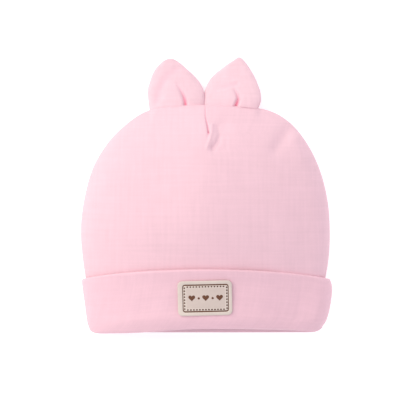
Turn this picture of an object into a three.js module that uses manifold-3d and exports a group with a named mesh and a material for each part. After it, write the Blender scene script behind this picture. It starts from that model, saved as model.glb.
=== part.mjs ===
// A baby's soft cotton hat with two ears, a turned-up cuff and a leather patch, laid on its back.
// Millimetres. +X points right as the front is seen, +Y runs from the rim to the ears, and +Z points
// up out of the front. The hat rests on the plane Z = 0, with the origin under the middle of its box.
import * as THREE from "three";
import Module from "manifold-3d";

const wasm = await Module();
wasm.setup();

// Driving dimensions of the crown
const crownWidth = 170; // outside width where the crown is widest
const crownHeight = 157; // from the rim line to the top seam
const puffHeight = 46.5; // highest point of the front above the surface
const sideHeight = 15; // height of the crown's side edge above the surface
const clothWall = 2; // two layers of cotton jersey
const seamGap = 0.3; // clearance left along each sewn seam

// Driving dimensions of the cuff
const cuffSeamHeight = 26; // height of the seam that joins crown and cuff, hidden by the cuff
const cuffHeight = 37; // from the rim to the free edge, at the sides
const cuffArch = 7.6; // how much higher the free edge stands at the front's middle
const rimArch = 4.6; // how far the front of the rim is drawn up above the back
const rimCorner = 2.6; // how far the rim rises where it turns at each side
const foldGap = 0.6; // space left between the two legs of the fold at the rim
const cuffFlare = 4.2; // the furthest the turned-up leg stands off the crown
const restSlope = 18; // length over which the crown's back comes down off the cuff

// How the cuff's edges curve around the hat, as powers: a higher one keeps a curve to a shorter
// stretch, towards the middle of the front or towards the sides
const archPower = 1.6;
const rimPowerLeft = 4;
const rimPowerRight = 2;
const cornerPower = 40;
const flarePower = 4;

// Driving dimensions of the ears
const earWidth = 39; // widest part of an ear
const earGap = 0.8; // between the two ears, where they are closest
const earHeight = 32.8; // from the top seam to the tip
const earWall = 3.2; // two layers of jersey sewn together and turned, and the air in them
const earEdge = 1.4; // thickness at the sewn edge
const earPuff = 5.5; // how far the lobes beside the pleat stand up
const earTipHeight = 4; // height of the tip above the surface
const pleatDepth = 5.5; // how deep the pleat is pressed in at the base
const pleatWidth = 2.6; // half width of the pleat
const seamBlend = 3; // how soon an ear's rows straighten above the curved top seam, a power
const edgeShare = 0.2; // share of the ear over which it thins to its sewn edge
const lobeRoundness = 0.7; // how full the lobes are across the ear, a power

// Driving dimensions of the patch
const patchWidth = 36.9;
const patchHeight = 23.8;
const patchCorner = 3.2;
const patchWall = 1.2;
const patchMiddle = 24.9; // height of its middle above the rim line
const patchTurn = 1.3; // degrees, anticlockwise

// How full the body's sections are, as powers
const frontFullness = 2.1; // the front's arch across the hat
const backFlatness = 3; // the back across the hat
const backSoftness = 0.6; // how round the back turns up at the sides

// Steps of the faceted surfaces
const crownSteps = { front: 36, back: 18, closeness: 0.55, perRow: 4 };
const hollowSteps = { front: 20, back: 14, closeness: 0, perRow: 2 };
const cuffSteps = { front: 30, back: 18, closeness: 0 };
const foldTurns = [0, 45, 90, 135, 180]; // degrees around the fold at the rim
const earSteps = { across: 20, along: 18 };
const patchSteps = { across: 12, along: 10 };
const hollowPast = 4; // how far the hollow's cut runs past the seam
const steepestInset = 3; // the most a slope can widen an inset
const slopeStep = 0.1; // rows between the two sections that a slope is taken from
const closeEnough = 1e-6;

// Sections of the body from the rim line to the top seam. up is a share of crownHeight, left and
// right of half of crownWidth, front of puffHeight, and side and back of sideHeight, back being
// where the back would hang if no surface held it up. soft is how round the side edges are.
const bodyRows = [
  { up: 0.0, left: 0.896, right: 0.905, front: 0.71, side: 0.77, back: -0.17, soft: 0.62 },
  { up: 0.166, left: 0.943, right: 0.941, front: 0.82, side: 0.87, back: -0.17, soft: 0.62 },
  { up: 0.312, left: 0.98, right: 0.986, front: 0.935, side: 0.95, back: -0.17, soft: 0.62 },
  { up: 0.452, left: 0.998, right: 1.0, front: 1.0, side: 1.0, back: -0.17, soft: 0.63 },
  { up: 0.592, left: 0.971, right: 0.977, front: 0.974, side: 1.0, back: -0.17, soft: 0.65 },
  { up: 0.726, left: 0.9, right: 0.911, front: 0.86, side: 0.95, back: -0.17, soft: 0.68 },
  { up: 0.841, left: 0.781, right: 0.805, front: 0.688, side: 0.87, back: -0.1, soft: 0.72 },
  { up: 0.927, left: 0.628, right: 0.667, front: 0.495, side: 0.77, back: 0.08, soft: 0.78 },
  { up: 0.978, left: 0.457, right: 0.51, front: 0.34, side: 0.69, back: 0.29, soft: 0.84 },
  { up: 0.9975, left: 0.235, right: 0.262, front: 0.253, side: 0.65, back: 0.5, soft: 0.88 },
  { up: 1.0, left: 0.0, right: 0.0, front: 0.21, side: 0.64, back: 0.62, soft: 0.9 },
];

// How far the cuff's turned-up leg stands off the crown from the rim to its free edge, as shares
// of cuffFlare. up is a share of the leg.
const cuffRows = [
  { up: 0, left: 0, front: 0, right: 0 },
  { up: 0.12, left: 0.09, front: 0.05, right: 0.48 },
  { up: 0.3, left: 0.12, front: 0.11, right: 0.83 },
  { up: 0.52, left: 0.14, front: 0.2, right: 1 },
  { up: 0.76, left: 0.17, front: 0.4, right: 0.96 },
  { up: 0.92, left: 0.14, front: 0.56, right: 0.66 },
  { up: 1, left: 0.05, front: 0.62, right: 0.3 },
];

// Folds and dents of the front, each along a line. Across is a share of half of crownWidth, up and
// spread are shares of crownHeight, and rise is a share of puffHeight, negative for a dent.
const wideFolds = [
  { name: "ridge under the dart", across: [0.01, 0.0], up: [0.86, 0.5], spread: 0.13, rise: 0.04 },
  { name: "right shoulder dent", across: [0.56, 0.7], up: [0.815, 0.88], spread: 0.03, rise: -0.035 },
  { name: "shoulder ridge", across: [0.7, 0.74], up: [0.8, 0.855], spread: 0.025, rise: 0.015 },
  { name: "left shoulder dent", across: [-0.6, -0.7], up: [0.87, 0.8], spread: 0.035, rise: -0.015 },
];
const dartFolds = [
  { name: "dart seam", across: [0.0, 0.0], up: [1.0, 0.915], spread: 0.011, rise: -0.015 },
  { name: "dart end", across: [0.0, 0.028], up: [0.915, 0.865], spread: 0.012, rise: -0.022 },
  { name: "pucker ridge", across: [0.053, 0.013], up: [0.9, 0.8], spread: 0.013, rise: 0.022 },
  { name: "pucker hollow", across: [0.085, 0.045], up: [0.875, 0.8], spread: 0.019, rise: -0.024 },
];

// Outline of each ear from the top seam to the tip. up is a share of earHeight. inner and outer
// are its edges and pleat is the pleat's path, as shares of earWidth out from the hat's middle.
const ears = {
  ear_left: {
    side: -1,
    rows: [
      { up: 0.0, inner: 0.01, outer: 0.979, pleat: 0.357 },
      { up: 0.187, inner: 0.0, outer: 0.995, pleat: 0.385 },
      { up: 0.362, inner: 0.038, outer: 0.987, pleat: 0.435 },
      { up: 0.53, inner: 0.13, outer: 0.941, pleat: 0.48 },
      { up: 0.684, inner: 0.245, outer: 0.885, pleat: 0.52 },
      { up: 0.807, inner: 0.358, outer: 0.828, pleat: 0.54 },
      { up: 0.9, inner: 0.445, outer: 0.772, pleat: 0.56 },
      { up: 0.966, inner: 0.508, outer: 0.71, pleat: 0.58 },
      { up: 1.0, inner: 0.56, outer: 0.65, pleat: 0.59 },
    ],
  },
  ear_right: {
    side: 1,
    rows: [
      { up: 0.0, inner: 0.0, outer: 0.927, pleat: 0.527 },
      { up: 0.148, inner: 0.003, outer: 0.977, pleat: 0.587 },
      { up: 0.312, inner: 0.017, outer: 0.953, pleat: 0.537 },
      { up: 0.464, inner: 0.063, outer: 0.899, pleat: 0.517 },
      { up: 0.615, inner: 0.15, outer: 0.845, pleat: 0.517 },
      { up: 0.767, inner: 0.304, outer: 0.767, pleat: 0.537 },
      { up: 0.888, inner: 0.432, outer: 0.694, pleat: 0.567 },
      { up: 0.964, inner: 0.527, outer: 0.647, pleat: 0.587 },
      { up: 1.0, inner: 0.577, outer: 0.622, pleat: 0.597 },
    ],
  },
};

// How an ear stands from the top seam to its tip: lobe is a share of earPuff, pleat a share of
// pleatDepth, and droop a share of the way down from the seam to the tip
const earForm = [
  { up: 0, lobe: 0.16, pleat: 0.58, droop: 0 },
  { up: 0.12, lobe: 0.5, pleat: 1, droop: 0.04 },
  { up: 0.3, lobe: 0.78, pleat: 0.62, droop: 0.22 },
  { up: 0.5, lobe: 0.62, pleat: 0.06, droop: 0.5 },
  { up: 0.75, lobe: 0.38, pleat: 0, droop: 0.84 },
  { up: 1, lobe: 0, pleat: 0, droop: 1 },
];

// The colours of the cloth and of the patch
const jersey = new THREE.MeshStandardMaterial({ color: 0xf7d3de, roughness: 0.9, metalness: 0 });
const leather = new THREE.MeshStandardMaterial({ color: 0xe0d3c6, roughness: 0.6, metalness: 0 });

const halfWidth = crownWidth / 2;
const { lerp, smoothstep, clamp, degToRad } = THREE.MathUtils;

// A smooth curve through the rows: t counts rows, and every column is interpolated
function rowAt(rows, t) {
  const last = rows.length - 1;
  const i = clamp(Math.floor(t), 0, last - 1);
  const s = t - i;
  const near = [i - 1, i, i + 1, i + 2].map((k) => rows[clamp(k, 0, last)]);
  const row = {};
  for (const column of Object.keys(rows[0])) {
    const [a, b, c, d] = near.map((r) => r[column]);
    const bend = 2 * a - 5 * b + 4 * c - d + s * (3 * (b - c) + d - a);
    row[column] = b + (s / 2) * (c - a + s * bend);
  }
  return row;
}

// The row number, from low to high, up to which a test of the row holds
function lastWhere(rows, holds, low = 0, high = rows.length - 1) {
  while (high - low > closeEnough) {
    const middle = (low + high) / 2;
    if (holds(rowAt(rows, middle))) low = middle;
    else high = middle;
  }
  return low;
}

// The row of a table at a share of its way up
const rowAtShare = (rows, share) => rowAt(rows, lastWhere(rows, (row) => row.up < share));

// The row number at which the body reaches a height above the rim line
const rowNumberAt = (height) => lastWhere(bodyRows, (row) => row.up * crownHeight < height);

// Height of a set of folds over the point (x, y), each a smooth ridge or dent along its line
function foldHeight(folds, x, y) {
  let height = 0;
  for (const { across, up, spread, rise } of folds) {
    const from = new THREE.Vector2(across[0] * halfWidth, up[0] * crownHeight);
    const to = new THREE.Vector2(across[1] * halfWidth, up[1] * crownHeight);
    const along = to.clone().sub(from);
    const point = new THREE.Vector2(x, y).sub(from);
    const share = clamp(point.dot(along) / along.lengthSq(), 0, 1);
    const away = point.sub(along.multiplyScalar(share)).length() / (spread * crownHeight);
    height += rise * puffHeight * Math.exp(-away * away);
  }
  return height;
}

// How high the body's back lies: over the cuff's turned-up back, and on the surface beyond it
function restHeight(y) {
  const overCuff = clothWall + foldGap;
  return overCuff * (1 - smoothstep(y, cuffHeight + seamGap, cuffHeight + restSlope));
}

// How far an inset reaches across and through the body, more where its outline or front slopes
function slopedInset(t, inset) {
  const [low, high] = [rowAt(bodyRows, t - slopeStep), rowAt(bodyRows, t)];
  const rise = (high.up - low.up) * crownHeight;
  const across = ((high.left + high.right - low.left - low.right) * halfWidth) / 2 / rise;
  const through = ((high.front - low.front) * puffHeight) / rise;
  return {
    across: inset * Math.min(Math.hypot(1, across), steepestInset),
    through: inset * Math.min(Math.hypot(1, through), steepestInset),
  };
}

// The body's point on a section, at an angle from the right side over the front. across and
// through move it into the body, and nothing lies lower than floor.
function sectionPoint(row, angle, { across, through }, floor, folds = wideFolds) {
  const cosine = Math.cos(angle);
  const share = cosine < 0 ? row.left : row.right;
  const x = cosine * Math.max(share * halfWidth - across, 0);
  const y = row.up * crownHeight;
  const side = row.side * sideHeight;
  if (Math.sin(angle) >= 0) {
    const front = row.front * puffHeight - through;
    const arch = (1 - Math.abs(cosine) ** frontFullness) ** row.soft;
    const z = side + Math.max(front - side, 0) * arch + foldHeight(folds, x, y) * arch;
    return new THREE.Vector3(x, y, Math.max(z, floor));
  }
  const back = Math.min(row.back * sideHeight + through, side);
  const sag = (1 - Math.abs(cosine) ** backFlatness) ** backSoftness;
  return new THREE.Vector3(x, y, Math.max(side - (side - back) * sag, floor));
}

// Angles around a section: even steps over the back, and over the front steps that are closer
// where the front's middle is finely shaped
function sectionAngles({ front, back, closeness }) {
  const angles = [];
  for (let i = 0; i < front; i++) {
    const share = i / front;
    angles.push(Math.PI * share + (closeness * Math.sin(2 * Math.PI * share)) / 2);
  }
  for (let i = 0; i < back; i++) angles.push(Math.PI * (1 + i / back));
  return angles;
}

// A solid of manifold-3d from points and triangles
function solidFrom(points, triangles) {
  return new wasm.Manifold(
    new wasm.Mesh({
      numProp: 3,
      vertProperties: new Float32Array(points.flatMap((p) => [p.x, p.y, p.z])),
      triVerts: new Uint32Array(triangles.flat()),
    }),
  );
}

// A three.js geometry from a solid
function geometryFrom(solid) {
  const mesh = solid.getMesh();
  const geometry = new THREE.BufferGeometry();
  geometry.setAttribute("position", new THREE.BufferAttribute(mesh.vertProperties, 3));
  geometry.setIndex(new THREE.BufferAttribute(mesh.triVerts, 1));
  geometry.computeVertexNormals();
  return geometry;
}

// The two triangles of a four-sided face
const quad = (a, b, c, d) => [
  [a, b, c],
  [a, c, d],
];

// A solid through rings of points, with its first ring closed flat and its last drawn to a tip
function loft(rings, tip) {
  const around = rings[0].length;
  const start = new THREE.Vector3();
  rings[0].forEach((p) => start.addScaledVector(p, 1 / around));
  const points = [...rings.flat(), start, tip];
  const startIndex = points.length - 2;
  const tipIndex = points.length - 1;
  const lastRing = (rings.length - 1) * around;
  const triangles = [];
  for (let j = 0; j < around; j++) {
    const next = (j + 1) % around;
    triangles.push([startIndex, j, next]);
    triangles.push([tipIndex, lastRing + next, lastRing + j]);
    for (let i = 0; i < rings.length - 1; i++) {
      const low = i * around;
      const high = low + around;
      triangles.push(...quad(low + j, high + j, high + next, low + next));
    }
  }
  return solidFrom(points, triangles);
}

// The crown's skin from a height above the rim line to the top, moved in by inset
function crownSkin(steps, from, inset, folds) {
  const angles = sectionAngles(steps);
  const first = rowNumberAt(from);
  const last = bodyRows.length - 1;
  const rows = Math.round((last - first) * steps.perRow);
  const rings = [];
  for (let i = 0; i < rows; i++) {
    const t = lerp(first, last, i / rows);
    const row = rowAt(bodyRows, t);
    const height = row.up * crownHeight;
    const sloped = slopedInset(t, inset);
    const room = row.front * puffHeight - row.back * sideHeight - 2 * sloped.through;
    if (height > crownHeight - inset || room < inset) break;
    const floor = restHeight(height) + inset;
    rings.push(angles.map((angle) => sectionPoint(row, angle, sloped, floor, folds)));
  }
  const top = rings.at(-1);
  const tip = new THREE.Vector3();
  top.forEach((p) => tip.addScaledVector(p, 1 / top.length));
  tip.y = inset ? tip.y + inset / 2 : crownHeight;
  return loft(rings, tip);
}

// The crown: a hollow dome, open at the cuff seam
function makeCrown() {
  const outside = crownSkin(crownSteps, cuffSeamHeight, 0, [...wideFolds, ...dartFolds]);
  const inside = crownSkin(hollowSteps, cuffSeamHeight - hollowPast, clothWall, wideFolds);
  return geometryFrom(outside.subtract(inside));
}

// How far an angle points towards the front: 1 at the middle of the front, 0 at the sides
const towardsFront = (angle) => Math.max(Math.sin(angle), 0);

// Where the rim's fold lies at an angle around the hat, as a height above the rim line
function rimHeight(angle) {
  const power = Math.cos(angle) < 0 ? rimPowerLeft : rimPowerRight;
  const corner = Math.abs(Math.cos(angle)) ** cornerPower;
  return rimArch * towardsFront(angle) ** power + rimCorner * corner;
}

// The cuff's turned-up leg at an angle around the hat: the height where its straight part starts,
// over the fold, and the height of its free edge
function cuffLeg(angle) {
  return {
    start: rimHeight(angle) + clothWall + foldGap / 2,
    top: cuffHeight + cuffArch * towardsFront(angle) ** archPower,
  };
}

// How far the turned-up leg stands off the crown at an angle, by a row of cuffRows
function cuffStandOff(angle, row) {
  const sine = Math.sin(angle);
  const side = Math.cos(angle) < 0 ? row.left : row.right;
  const share = sine > 0 ? lerp(side, row.front, sine) : side * (1 + sine) ** flarePower;
  return foldGap + cuffFlare * share;
}

// The cuff's closed profile at an angle around the hat: a doubled band with the inner leg sewn to
// the crown, the fold at the rim, and the outer leg turned up. Each place is an inset into the
// body, a height above the rim line and the lowest the surface below it allows.
function cuffProfile(angle) {
  const seam = cuffSeamHeight - seamGap;
  const { start, top } = cuffLeg(angle);
  const foldRadius = clothWall + foldGap / 2;
  const under = clothWall + foldGap;
  const legRows = cuffRows.slice(1);
  const legHeight = (row) => lerp(start, top - clothWall / 2, row.up);
  const places = [];
  const add = (inset, height, floor) => places.push({ inset, height, floor });

  add(clothWall, seam, under + clothWall);
  add(clothWall, (seam + start) / 2, under + clothWall);
  for (const turn of foldTurns) {
    const a = degToRad(turn);
    const inset = foldRadius * Math.cos(a) - foldGap / 2;
    const floor = (under + clothWall) * (1 - turn / foldTurns.at(-1));
    add(inset, start - foldRadius * Math.sin(a), floor);
  }
  for (const row of legRows) add(-cuffStandOff(angle, row) - clothWall, legHeight(row), 0);
  add(-cuffStandOff(angle, legRows.at(-1)) - clothWall / 2, top, clothWall / 2);
  for (const row of legRows.toReversed()) {
    add(-cuffStandOff(angle, row), legHeight(row), clothWall);
  }
  add(-foldGap / 2, start - foldGap / 2, clothWall + foldGap / 2);
  add(0, (seam + start) / 2, under);
  add(0, seam, under);
  return places;
}

// A point of the body, moved in or out, at any height above the rim line
function bodyPoint(angle, { inset, height, floor }) {
  const row = rowAt(bodyRows, rowNumberAt(height));
  const point = sectionPoint(row, angle, { across: inset, through: inset }, floor);
  point.y = height;
  return point;
}

// The cuff: its profile swept once around the hat
function makeCuff() {
  const rings = sectionAngles(cuffSteps).map((angle) =>
    cuffProfile(angle).map((place) => bodyPoint(angle, place)),
  );
  const around = rings.length;
  const inRing = rings[0].length;
  const triangles = [];
  for (let i = 0; i < around; i++) {
    const here = i * inRing;
    const there = ((i + 1) % around) * inRing;
    for (let j = 0; j < inRing; j++) {
      const next = (j + 1) % inRing;
      triangles.push(...quad(here + j, here + next, there + next, there + j));
    }
  }
  return geometryFrom(solidFrom(rings.flat(), triangles));
}

// A closed sheet: place(u, v, face) gives the point of the upper face (1) or the lower face (-1)
// at shares u across and v along, and a strip closes the edge all round
function sheet({ across: columns, along: rows }, place) {
  const points = [];
  const wide = columns + 1;
  for (const face of [1, -1])
    for (let j = 0; j <= rows; j++)
      for (let i = 0; i <= columns; i++) points.push(place(i / columns, j / rows, face));
  const lower = wide * (rows + 1);
  const at = (i, j) => j * wide + i;
  const triangles = [];
  for (let j = 0; j < rows; j++)
    for (let i = 0; i < columns; i++) {
      const corners = [at(i, j), at(i + 1, j), at(i + 1, j + 1), at(i, j + 1)];
      triangles.push(...quad(...corners));
      triangles.push(...quad(...corners.map((k) => k + lower).reverse()));
    }
  const edge = [];
  for (let i = 0; i < columns; i++) edge.push(at(i, 0));
  for (let j = 0; j < rows; j++) edge.push(at(columns, j));
  for (let i = columns; i > 0; i--) edge.push(at(i, rows));
  for (let j = rows; j > 0; j--) edge.push(at(0, j));
  edge.forEach((here, k) => {
    const next = edge[(k + 1) % edge.length];
    triangles.push(...quad(here, here + lower, next + lower, next));
  });
  return geometryFrom(solidFrom(points, triangles));
}

// The top seam over a given x: how high above the rim line it lies, and above the surface
function topSeamAt(x) {
  const side = x < 0 ? "left" : "right";
  const widest = bodyRows.reduce((best, row, i) => (row[side] > bodyRows[best][side] ? i : best), 0);
  const covers = (row) => row[side] * halfWidth > Math.abs(x);
  const row = rowAt(bodyRows, lastWhere(bodyRows, covers, widest));
  return { height: row.up * crownHeight, z: row.side * sideHeight };
}

// An ear: two layers sewn round the outline and turned, set into the top seam over a pleat
function makeEar({ side, rows }) {
  const last = rows.length - 1;
  return sheet(earSteps, (u, v, face) => {
    const row = rowAt(rows, v * last);
    const form = rowAtShare(earForm, row.up);
    const share = lerp(row.inner, row.outer, side < 0 ? 1 - u : u);
    const x = side * (earGap / 2 + share * earWidth);
    const seam = topSeamAt(x);
    const sag = (crownHeight - seam.height) * (1 - row.up) ** seamBlend;
    const y = crownHeight + seamGap + row.up * earHeight - sag;
    const fromEdge = clamp(Math.min(u, 1 - u, 1 - v) / edgeShare, 0, 1);
    const thickness = lerp(earWall, earEdge, (1 - fromEdge) ** 2);
    const lobe = earPuff * form.lobe * Math.sin(Math.PI * u) ** lobeRoundness;
    const away = ((share - row.pleat) * earWidth) / pleatWidth;
    const pleat = pleatDepth * form.pleat * Math.exp(-away * away);
    const z = lerp(seam.z, earTipHeight, form.droop) + lobe - pleat;
    return new THREE.Vector3(x, y, z + (face * thickness) / 2);
  });
}

// The height of the cuff's outer face above the surface, over the point (x, y)
function cuffFaceAt(x, y) {
  const row = rowAt(bodyRows, rowNumberAt(y));
  const share = x < 0 ? row.left : row.right;
  const angle = Math.acos(clamp(x / (share * halfWidth), -1, 1));
  const { start, top } = cuffLeg(angle);
  const up = clamp((y - start) / (top - clothWall / 2 - start), 0, 1);
  const out = -cuffStandOff(angle, rowAtShare(cuffRows, up)) - clothWall;
  return sectionPoint(row, angle, { across: 0, through: out }, 0).z;
}

// The patch: a leather plate with round corners that follows the front of the cuff
function makePatch() {
  const turn = degToRad(patchTurn);
  return sheet(patchSteps, (u, v, face) => {
    const up = (Math.sin(Math.PI * (v - 0.5)) * patchHeight) / 2;
    const intoCorner = Math.max(Math.abs(up) - (patchHeight / 2 - patchCorner), 0);
    const cornerCut = patchCorner - Math.sqrt(Math.max(patchCorner ** 2 - intoCorner ** 2, 0));
    const across = (u - 0.5) * (patchWidth - 2 * cornerCut);
    const x = across * Math.cos(turn) - up * Math.sin(turn);
    const y = patchMiddle + across * Math.sin(turn) + up * Math.cos(turn);
    return new THREE.Vector3(x, y, cuffFaceAt(x, y) + seamGap + (face > 0 ? patchWall : 0));
  });
}

// The assembly, with each piece its own mesh
const hat = new THREE.Group();

function addPiece(name, geometry, material) {
  const mesh = new THREE.Mesh(geometry, material);
  mesh.name = name;
  hat.add(mesh);
}

addPiece("crown", makeCrown(), jersey);
addPiece("cuff", makeCuff(), jersey);
for (const [name, ear] of Object.entries(ears)) addPiece(name, makeEar(ear), jersey);
addPiece("patch", makePatch(), leather);

// The origin goes under the middle of the hat's box, on the surface it rests on
const box = new THREE.Box3().setFromObject(hat);
const middle = box.getCenter(new THREE.Vector3());
hat.position.set(-middle.x, -middle.y, -box.min.z);

export default hat;
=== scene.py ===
"""A baby's soft cotton hat with two ears, laid on its back: the finish of every piece."""

import math

import bpy
import numpy as np
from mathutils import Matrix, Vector, noise


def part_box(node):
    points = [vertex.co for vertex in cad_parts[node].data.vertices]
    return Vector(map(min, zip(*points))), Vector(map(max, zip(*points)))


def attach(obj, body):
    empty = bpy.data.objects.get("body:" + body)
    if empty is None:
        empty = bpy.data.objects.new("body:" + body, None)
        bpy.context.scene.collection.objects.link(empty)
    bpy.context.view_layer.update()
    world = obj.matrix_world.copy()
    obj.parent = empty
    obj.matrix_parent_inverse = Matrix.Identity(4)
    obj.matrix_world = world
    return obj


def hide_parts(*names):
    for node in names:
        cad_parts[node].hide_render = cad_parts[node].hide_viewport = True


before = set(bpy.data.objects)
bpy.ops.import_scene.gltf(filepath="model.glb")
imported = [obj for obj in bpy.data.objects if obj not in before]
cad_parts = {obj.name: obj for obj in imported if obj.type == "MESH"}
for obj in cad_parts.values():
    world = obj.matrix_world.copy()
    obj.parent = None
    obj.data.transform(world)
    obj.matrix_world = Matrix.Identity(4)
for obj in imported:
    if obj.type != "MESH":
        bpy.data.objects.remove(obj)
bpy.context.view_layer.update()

bl_info = {
    "name": "Baby hat with ears",
    "version": (1, 0, 0),
    "blender": (4, 5, 0),
    "location": "View3D > Sidebar > Baby hat",
    "description": "Dresses a baby's cotton hat with knit jersey, soft ears and a leather patch",
    "category": "Add Mesh",
}

# Lengths below are in millimetres, x and y counted from the middle of the rim line, and every
# mesh is turned into metres in the frame's own place when it is made.
MM = 0.001


def node_box(node):
    """The lowest and highest corner of a solid, in millimetres."""
    low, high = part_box(node)
    return np.array(low) / MM, np.array(high) / MM


# Sections of the body from the rim line to the top seam. up is a share of the crown's height,
# left and right of half of its width, front of its puff, and side and back of the side's height.
# soft is a power that rounds the front, which is fuller where it is smaller.
BODY_ROWS = [
    {"up": 0.0, "left": 0.908, "right": 0.922, "front": 0.71, "side": 0.77, "back": -0.17, "soft": 0.62},
    {"up": 0.166, "left": 0.949, "right": 0.953, "front": 0.82, "side": 0.87, "back": -0.17, "soft": 0.62},
    {"up": 0.312, "left": 0.991, "right": 1.002, "front": 0.935, "side": 0.95, "back": -0.17, "soft": 0.62},
    {"up": 0.452, "left": 1.01, "right": 1.014, "front": 1.0, "side": 1.0, "back": -0.17, "soft": 0.63},
    {"up": 0.592, "left": 0.979, "right": 0.992, "front": 0.974, "side": 1.0, "back": -0.17, "soft": 0.65},
    {"up": 0.726, "left": 0.909, "right": 0.926, "front": 0.86, "side": 0.95, "back": -0.17, "soft": 0.68},
    {"up": 0.841, "left": 0.781, "right": 0.819, "front": 0.688, "side": 0.87, "back": -0.1, "soft": 0.72},
    {"up": 0.927, "left": 0.618, "right": 0.684, "front": 0.495, "side": 0.77, "back": 0.08, "soft": 0.78},
    {"up": 0.978, "left": 0.457, "right": 0.514, "front": 0.34, "side": 0.69, "back": 0.29, "soft": 0.84},
    {"up": 0.9975, "left": 0.235, "right": 0.262, "front": 0.253, "side": 0.65, "back": 0.5, "soft": 0.88},
    {"up": 1.0, "left": 0.0, "right": 0.0, "front": 0.21, "side": 0.64, "back": 0.62, "soft": 0.9},
]

# How far the cuff's turned-up leg stands off the crown from the rim to its free edge, as shares
# of CUFF_FLARE. up is a share of the leg.
CUFF_ROWS = [
    {"up": 0.0, "left": 0.0, "front": 0.0, "right": 0.0},
    {"up": 0.12, "left": 0.19, "front": 0.05, "right": 0.52},
    {"up": 0.3, "left": 0.22, "front": 0.11, "right": 0.82},
    {"up": 0.52, "left": 0.21, "front": 0.14, "right": 0.97},
    {"up": 0.76, "left": 0.2, "front": 0.12, "right": 0.95},
    {"up": 0.92, "left": 0.14, "front": 0.07, "right": 0.62},
    {"up": 1.0, "left": 0.05, "front": 0.03, "right": 0.26},
]

# Outline of each ear from the top seam to the tip. up is a share of the ear's height. inner and
# outer are its edges and pleat is the pleat's path, as shares of EAR_WIDTH out from the middle, and
# lean is how much its right edge is lifted over its left edge halfway up, beside EAR_LEAN.
EARS = {
    "ear_left": {
        "side": -1,
        "lean": 0.8,
        "rows": [
            {"up": 0.0, "inner": 0.003, "outer": 0.979, "pleat": 0.357},
            {"up": 0.187, "inner": 0.0, "outer": 1.006, "pleat": 0.385},
            {"up": 0.362, "inner": 0.03, "outer": 1.018, "pleat": 0.435},
            {"up": 0.53, "inner": 0.11, "outer": 0.977, "pleat": 0.48},
            {"up": 0.684, "inner": 0.228, "outer": 0.928, "pleat": 0.52},
            {"up": 0.807, "inner": 0.342, "outer": 0.866, "pleat": 0.54},
            {"up": 0.9, "inner": 0.432, "outer": 0.796, "pleat": 0.56},
            {"up": 0.966, "inner": 0.508, "outer": 0.722, "pleat": 0.58},
            {"up": 1.0, "inner": 0.56, "outer": 0.65, "pleat": 0.59},
        ],
    },
    "ear_right": {
        "side": 1,
        "lean": 3.4,
        "rows": [
            {"up": 0.0, "inner": -0.05, "outer": 0.935, "pleat": 0.527},
            {"up": 0.148, "inner": -0.035, "outer": 0.989, "pleat": 0.587},
            {"up": 0.312, "inner": -0.012, "outer": 0.978, "pleat": 0.537},
            {"up": 0.464, "inner": 0.036, "outer": 0.93, "pleat": 0.517},
            {"up": 0.615, "inner": 0.118, "outer": 0.876, "pleat": 0.517},
            {"up": 0.767, "inner": 0.266, "outer": 0.803, "pleat": 0.537},
            {"up": 0.888, "inner": 0.4, "outer": 0.738, "pleat": 0.567},
            {"up": 0.97, "inner": 0.508, "outer": 0.682, "pleat": 0.587},
            {"up": 1.03, "inner": 0.577, "outer": 0.63, "pleat": 0.597},
        ],
    },
}

# How an ear stands from the top seam to its tip: lobe is a share of EAR_PUFF, pleat a share of
# PLEAT_DEPTH, and droop a share of the way down from the seam to the tip.
EAR_FORM = [
    {"up": 0.0, "lobe": 0.93, "pleat": 0.9, "droop": 0.0},
    {"up": 0.12, "lobe": 0.93, "pleat": 1.0, "droop": 0.1},
    {"up": 0.3, "lobe": 0.85, "pleat": 0.5, "droop": 0.34},
    {"up": 0.5, "lobe": 0.7, "pleat": 0.04, "droop": 0.6},
    {"up": 0.75, "lobe": 0.42, "pleat": 0.0, "droop": 0.86},
    {"up": 1.0, "lobe": 0.0, "pleat": 0.0, "droop": 1.0},
]

# Places and sizes taken from the solids. Their folds raise the crown's highest point to
# FOLDED_PUFF times its puff. SIDE, WALL and SEAM_GAP are sizes of their source.
FOLDED_PUFF = 1.04
CROWN_LOW, CROWN_HIGH = node_box("crown")
CUFF_LOW, CUFF_HIGH = node_box("cuff")
HALF_WIDTH = (CROWN_HIGH[0] - CROWN_LOW[0]) / 2
MIDDLE_X = CROWN_HIGH[0] - HALF_WIDTH
RIM_Y = CUFF_LOW[1]
CROWN_HEIGHT = CROWN_HIGH[1] - RIM_Y
CUFF_SEAM = CROWN_LOW[1] - RIM_Y
PUFF = CROWN_HIGH[2] / FOLDED_PUFF
SIDE = 15.0
WALL = 2.0
SEAM_GAP = 0.3
EAR_HEIGHT = node_box("ear_left")[1][1] - CROWN_HIGH[1] - SEAM_GAP

# The cuff
CUFF_HEIGHT = 37.0
CUFF_ARCH = CUFF_HIGH[1] - RIM_Y - CUFF_HEIGHT
RIM_ARCH = 3.5
RIM_CORNER_LEFT = 1.6
RIM_CORNER_RIGHT = 1.9
RIM_DIP_LEFT = 1.2
RIM_DIP_BACK = 0.6
DIP_POWER = 8
FOLD_GAP = 0.6
CUFF_FLARE = 4.2
REST_SLOPE = 18.0
ARCH_POWER = 1.6
RIM_POWER_LEFT = 8
RIM_POWER_RIGHT = 1.4
CORNER_POWER = 40
FLARE_POWER = 4
DEEPEST_FOLD = -1.5
FOLD_GROWTH = 6
EDGE_WAVE = 0.35

# Two swellings along the cuff's free edge: a narrow lip and a broad hem below it
CUFF_LIP = 0.35
CUFF_LIP_WIDTH = 2.0
CUFF_HEM = 1.15
CUFF_HEM_WIDTH = 7.0

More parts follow.
